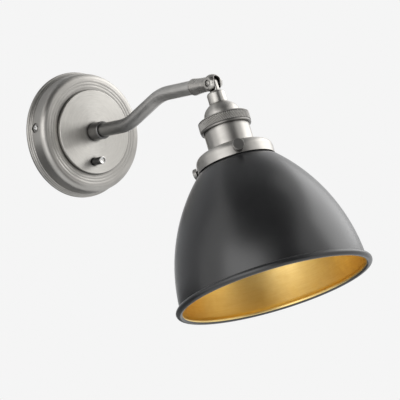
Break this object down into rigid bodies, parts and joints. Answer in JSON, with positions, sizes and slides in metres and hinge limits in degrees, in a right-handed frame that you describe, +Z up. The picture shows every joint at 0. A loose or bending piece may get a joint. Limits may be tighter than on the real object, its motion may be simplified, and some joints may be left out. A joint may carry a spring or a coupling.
{
  "type": "bedside wall reading lamp",
  "caption": "Wall reading lamp: round spun plate with push button, S-bent arm, forked swivel knuckle and a lampholder head carrying a domed metal shade",
  "frame": {"origin": "centre of the two fixing slots on the wall plane, behind the middle of the round plate", "axes": "+Z up, +Y into the wall, the lamp stands out along -Y, X across"},
  "size_m": [0.1737, 0.3431, 0.2496],
  "materials": {
    "pewter": "aged pewter plating, fine brushed lines, satin",
    "disc_pewter": "aged pewter plating with circular brushing",
    "dark_pewter": "darker aged pewter plating, satin",
    "knurl_pewter": "aged pewter plating over a diamond knurl",
    "thumb_metal": "dark aged pewter with a bright worn edge",
    "button_metal": "dark side with a bright turned end",
    "bright_screw": "bright nickel-plated steel",
    "zinc_steel": "zinc-plated pressed steel",
    "brass": "plain turned brass",
    "white_plastic": "moulded off-white plastic",
    "black_plastic": "moulded black plastic",
    "ceramic": "unglazed white porcelain",
    "flex_sleeve": "matt black sleeve",
    "shade_finish": "satin black outside, satin gold leaf inside"
  },
  "bodies": {
    "wall_side": {"mounting_bracket": "zinc_steel", "plate_cover": "pewter", "face_disc": "disc_pewter", "side_screws": "bright_screw", "arm_hub": "dark_pewter", "threaded_nipple": "brass", "nipple_washer": "zinc_steel", "nipple_nut": "brass", "arm_tube": "dark_pewter", "end_bush": "brass", "arm_flex": "flex_sleeve", "terminal_block": "white_plastic", "terminal_screws": "brass", "earth_screw": "brass", "switch_body": "black_plastic", "switch_nut": "brass", "switch_leads": "flex_sleeve"},
    "switch": {"switch_button": "button_metal"},
    "knuckle": {"knuckle_fork": "pewter", "spigot_nut": "brass", "friction_washers": "zinc_steel", "pivot_screw": "bright_screw", "pivot_nut": "bright_screw"},
    "head": {"swivel_tongue": "pewter", "cap_nut": "brass", "cap_dome": "pewter", "knurled_ring": "knurl_pewter", "socket_barrel": "pewter", "gallery_collar": "pewter", "lampholder_body": "ceramic", "contact_shell": "brass", "centre_contact": "brass", "head_flex": "flex_sleeve", "shade": "shade_finish"},
    "thumb_1": {"thumb_screw_1": "thumb_metal"},
    "thumb_2": {"thumb_screw_2": "thumb_metal"},
    "thumb_3": {"thumb_screw_3": "thumb_metal"}
  },
  "joints": [
    {"name": "knuckle_swivel", "type": "hinge", "parent": "wall_side", "child": "knuckle", "pos_m": [0, -0.204, 0.022], "axis": [0, -1, 0], "range_deg": [-97.3, 82.7]},
    {"name": "head_tilt", "type": "hinge", "parent": "knuckle", "child": "head", "pos_m": [0, -0.204, 0.022], "axis": [-0.9919, 0, -0.1271], "range_deg": [-16.7, 73.3]},
    {"name": "switch_press", "type": "slide", "parent": "wall_side", "child": "switch", "axis": [0, 1, 0], "range_m": [0, 0.0025], "stiffness_N_per_m": 500, "springref_m": -0.001},
    {"name": "thumb_turn_1", "type": "hinge", "parent": "head", "child": "thumb_1", "pos_m": [0.00873, -0.2246, -0.04612], "axis": [-0.5708, -0.8033, 0.1698], "continuous": true},
    {"name": "thumb_turn_2", "type": "hinge", "parent": "head", "child": "thumb_2", "pos_m": [0.00873, -0.2246, -0.04612], "axis": [-0.4178, 0.8534, -0.3117], "continuous": true},
    {"name": "thumb_turn_3", "type": "hinge", "parent": "head", "child": "thumb_3", "pos_m": [0.00873, -0.2246, -0.04612], "axis": [0.9886, -0.0501, 0.1418], "continuous": true}
  ]
}
